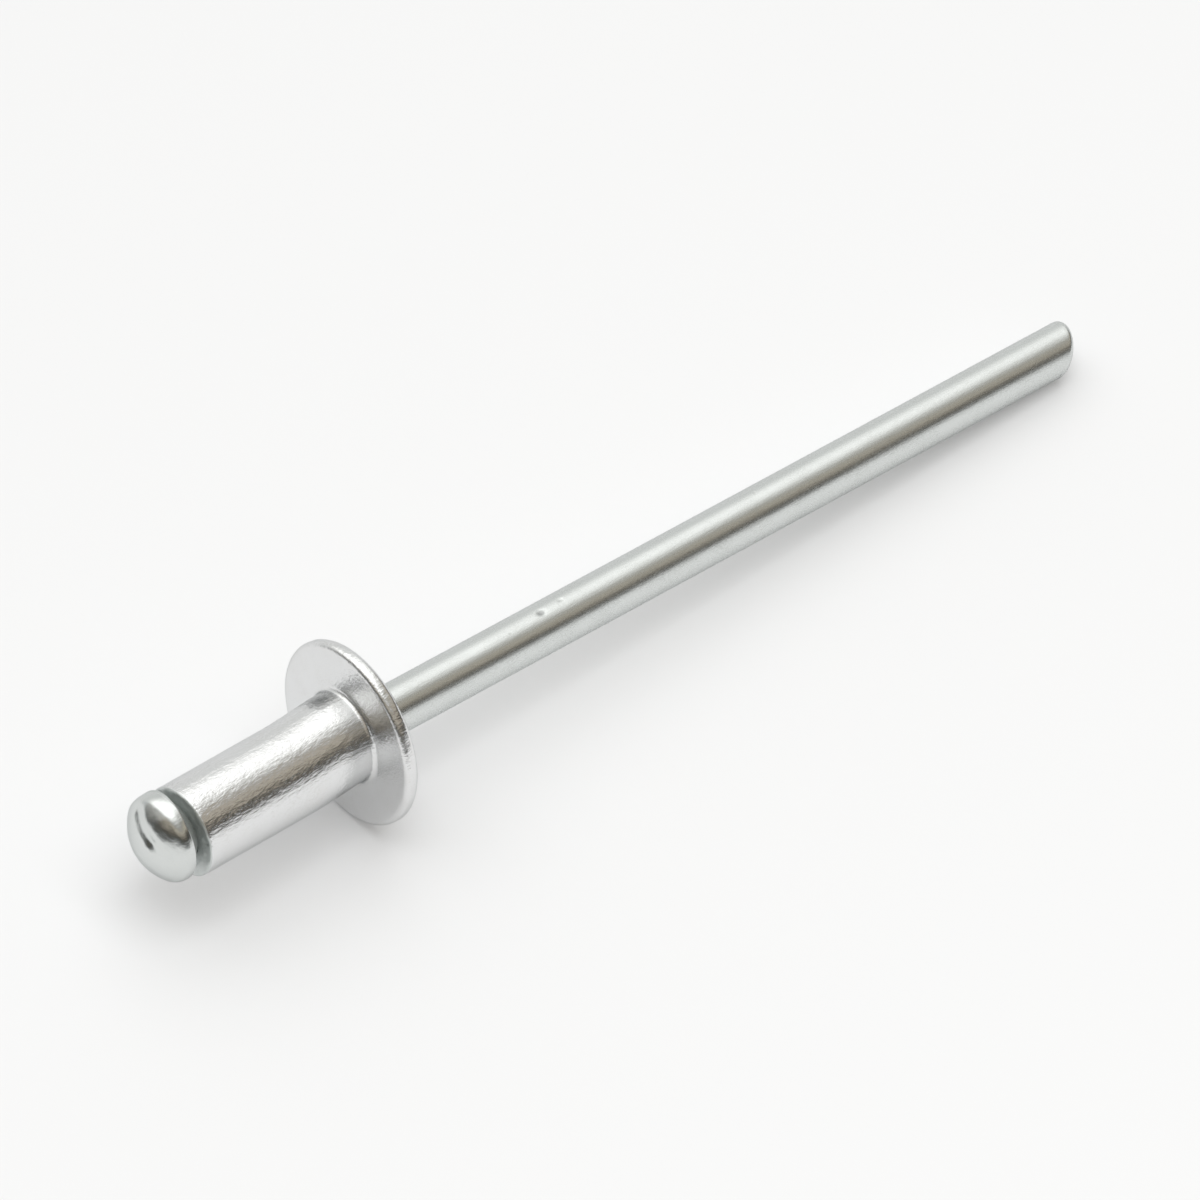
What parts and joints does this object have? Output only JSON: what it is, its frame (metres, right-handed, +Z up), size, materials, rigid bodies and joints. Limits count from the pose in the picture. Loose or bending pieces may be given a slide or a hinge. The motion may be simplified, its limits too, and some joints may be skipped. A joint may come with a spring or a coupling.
{
  "type": "pop rivet",
  "caption": "Dome-flanged open-end blind rivet before setting: an aluminium tube and flange on a headed steel pull mandrel, lying as it comes to rest.",
  "frame": {"origin": "on the surface the rivet lies on, under the centre of its bounding box", "axes": "+X runs from the blind end towards the tip of the mandrel, along the surface; +Z is up; the rivet's own axis dips 4.44 degrees towards +X, as it does when the flange rim and the mandrel tip touch the surface"},
  "size_m": [0.0398, 0.0064, 0.0065],
  "materials": {
    "body_aluminium": "bright as-formed aluminium with fine lengthwise ripples",
    "mandrel_steel": "bright zinc-plated steel wire with faint drawing lines"
  },
  "bodies": {
    "root": {"rivet_body": "body_aluminium", "mandrel": "mandrel_steel"}
  },
  "joints": []
}
